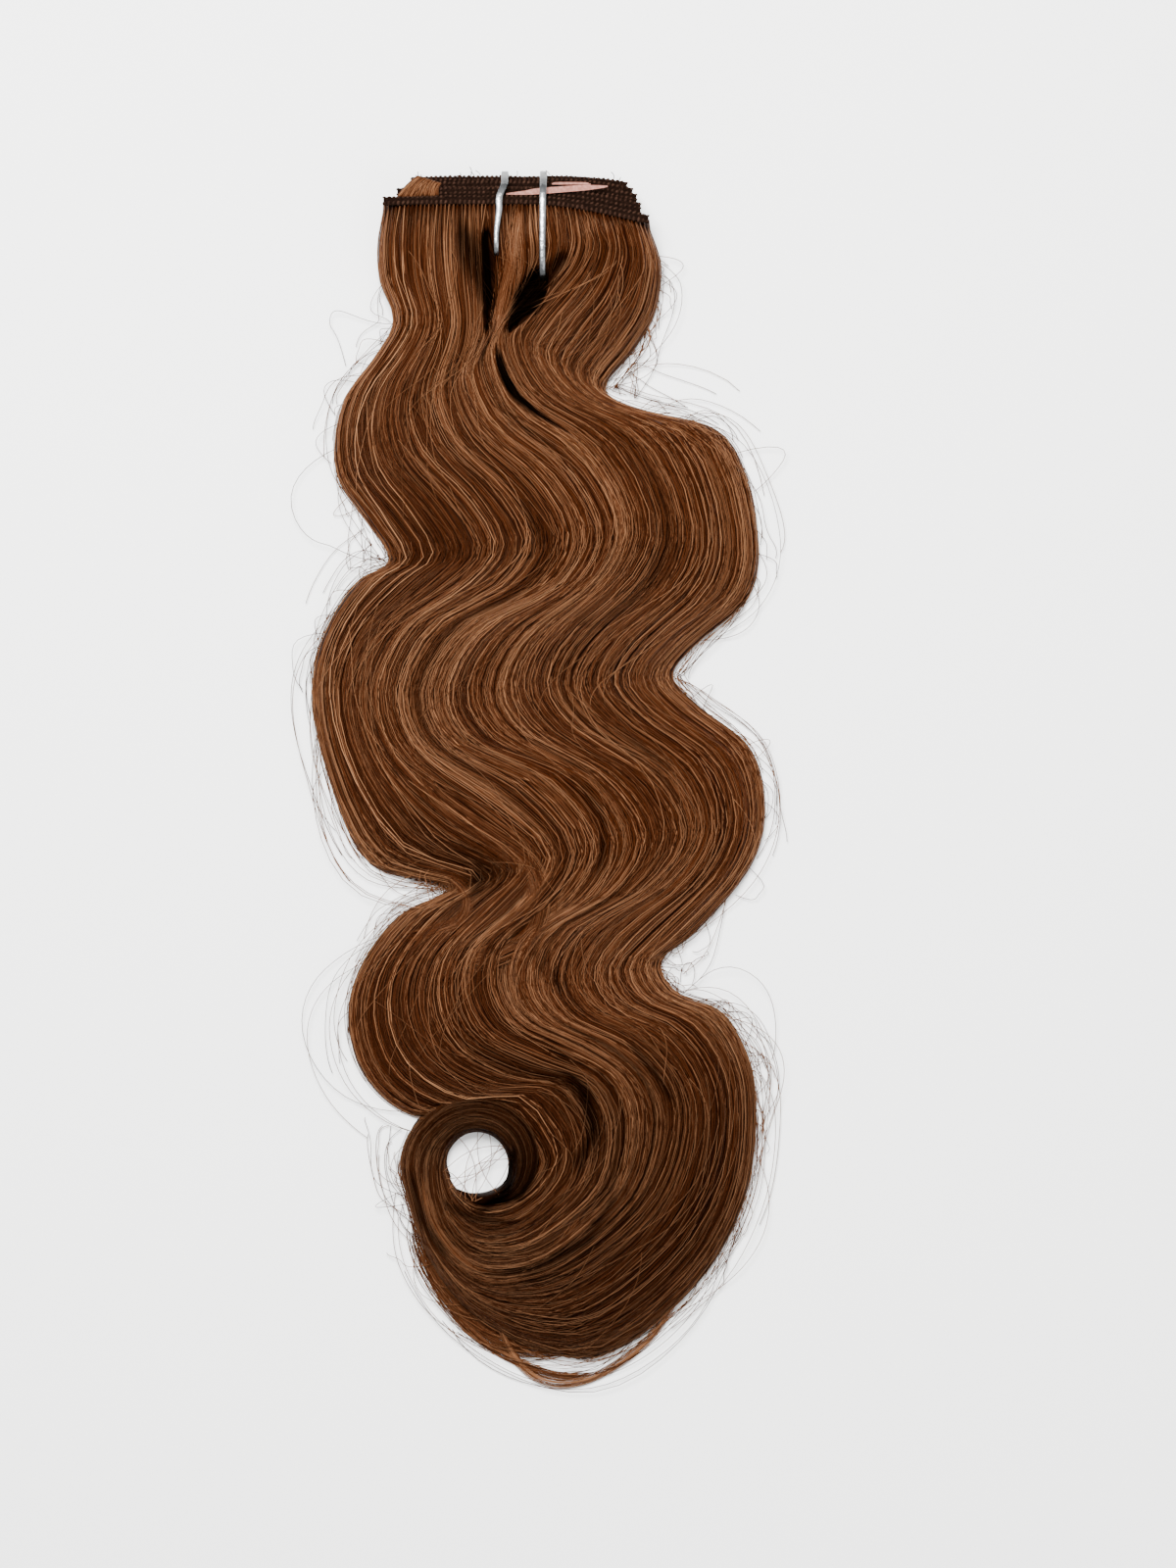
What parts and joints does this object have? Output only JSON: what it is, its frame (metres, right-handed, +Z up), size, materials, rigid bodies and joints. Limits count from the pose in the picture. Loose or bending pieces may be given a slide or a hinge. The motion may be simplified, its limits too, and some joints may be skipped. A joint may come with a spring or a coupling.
{
  "type": "clip in hair extension",
  "caption": "Long wavy clip in hair extension set, its sewn wefts tied in a stack, laid flat with the ends in an open curl.",
  "frame": {"origin": "centre of the footprint, on the surface that the hair lies on", "axes": "+Y towards the wefts along the hair's length, +X across the hair to the right in plan, +Z up from the surface"},
  "size_m": [0.171, 0.4584, 0.0225],
  "materials": {
    "hair": "silky strands with a soft sheen",
    "weft": "matt sewn band",
    "tape": "matt pale pink strip",
    "tie_foil": "crimped silver foil",
    "clip_metal": "dark painted steel"
  },
  "bodies": {
    "root": {"hair_body": "hair", "weft_front": "weft", "weft_2": "weft", "weft_3": "weft", "weft_4": "weft", "weft_5": "weft", "tape_wide": "tape", "tape_narrow": "tape", "tie_left": "tie_foil", "tie_right": "tie_foil", "clip_left": "clip_metal", "clip_right": "clip_metal"}
  },
  "joints": []
}
